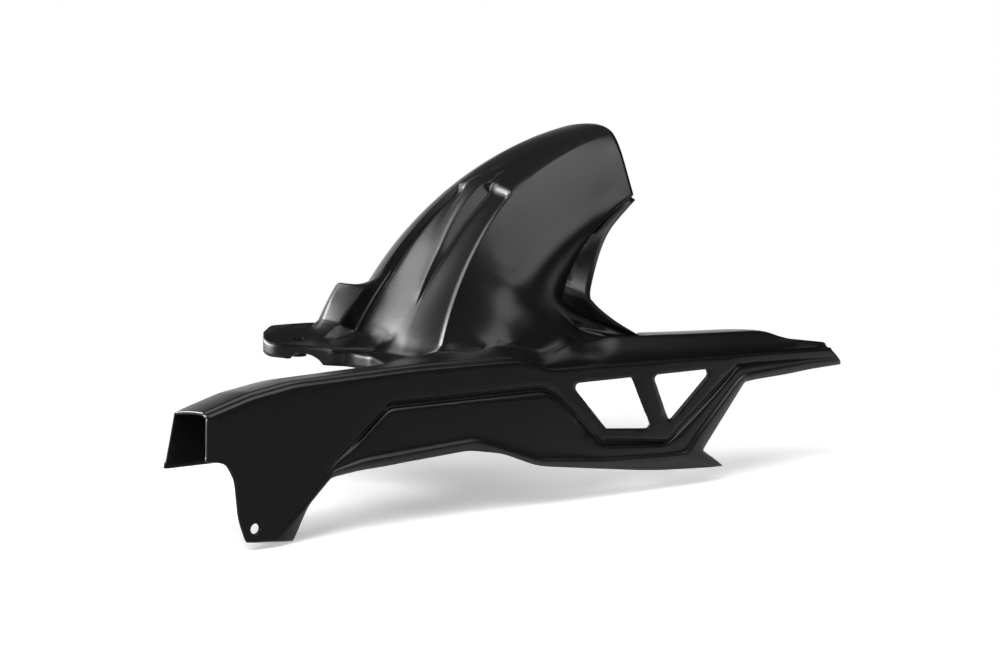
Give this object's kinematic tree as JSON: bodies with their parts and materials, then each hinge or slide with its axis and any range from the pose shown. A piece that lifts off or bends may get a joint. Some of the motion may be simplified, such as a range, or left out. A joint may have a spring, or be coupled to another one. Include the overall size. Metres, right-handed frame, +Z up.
{
  "type": "rear hugger mudguard",
  "caption": "Moulded rear hugger: a ribbed wheel arch, a front mounting plate and a full-length chain guard with two windows, in one satin-black shell.",
  "frame": {"origin": "centre of the bolt hole in the front tab, on the chain guard's outer face", "axes": "+X to the rear of the machine, +Y from the chain side to the far side along the wheel axle, +Z up"},
  "size_m": [0.7065, 0.2418, 0.3328],
  "materials": {
    "shell": "satin, fine moulded texture"
  },
  "bodies": {
    "root": {"mudguard": "shell"}
  },
  "joints": []
}
